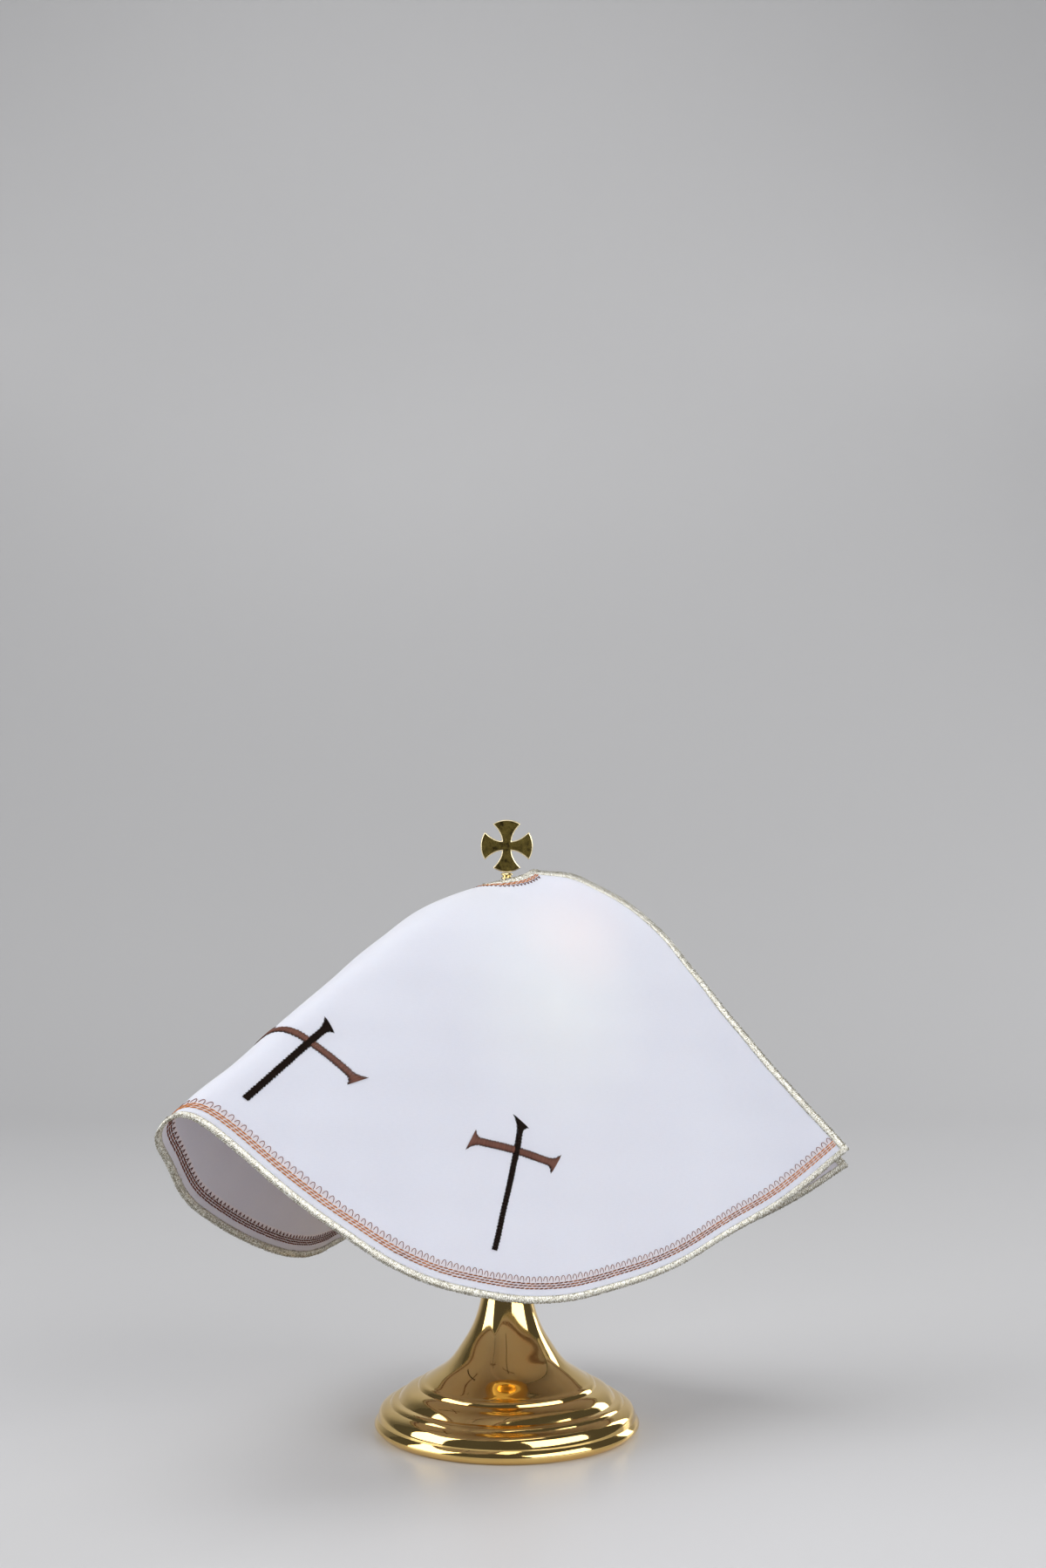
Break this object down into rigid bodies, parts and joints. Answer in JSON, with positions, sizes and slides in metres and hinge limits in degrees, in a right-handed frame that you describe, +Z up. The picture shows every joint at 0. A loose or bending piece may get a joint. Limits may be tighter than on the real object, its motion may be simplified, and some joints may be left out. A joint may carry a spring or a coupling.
{
  "type": "ciborium veil on a ciborium",
  "caption": "White sector-cut ciborium veil with metallic bindings, draped in soft folds over a lidded gold ciborium with a round stepped foot and cross finial",
  "frame": {"origin": "centre of the foot, on the surface it stands on", "axes": "+Z up through the stem and finial; -Y towards the front of the veil; +X towards the slit of the veil"},
  "size_m": [0.3139, 0.2576, 0.288],
  "materials": {
    "polished_gold": "polished gilt",
    "white_cloth": "matt, finely woven",
    "metallic_binding": "soft metallic knit"
  },
  "bodies": {
    "root": {"foot": "polished_gold", "knop": "polished_gold", "upper_stem": "polished_gold", "cup": "polished_gold", "lid": "polished_gold", "finial_knob": "polished_gold", "finial_cross": "polished_gold", "veil_cloth": "white_cloth", "hem_binding": "metallic_binding", "neck_binding": "metallic_binding", "slit_binding_front": "metallic_binding", "slit_binding_back": "metallic_binding"}
  },
  "joints": []
}
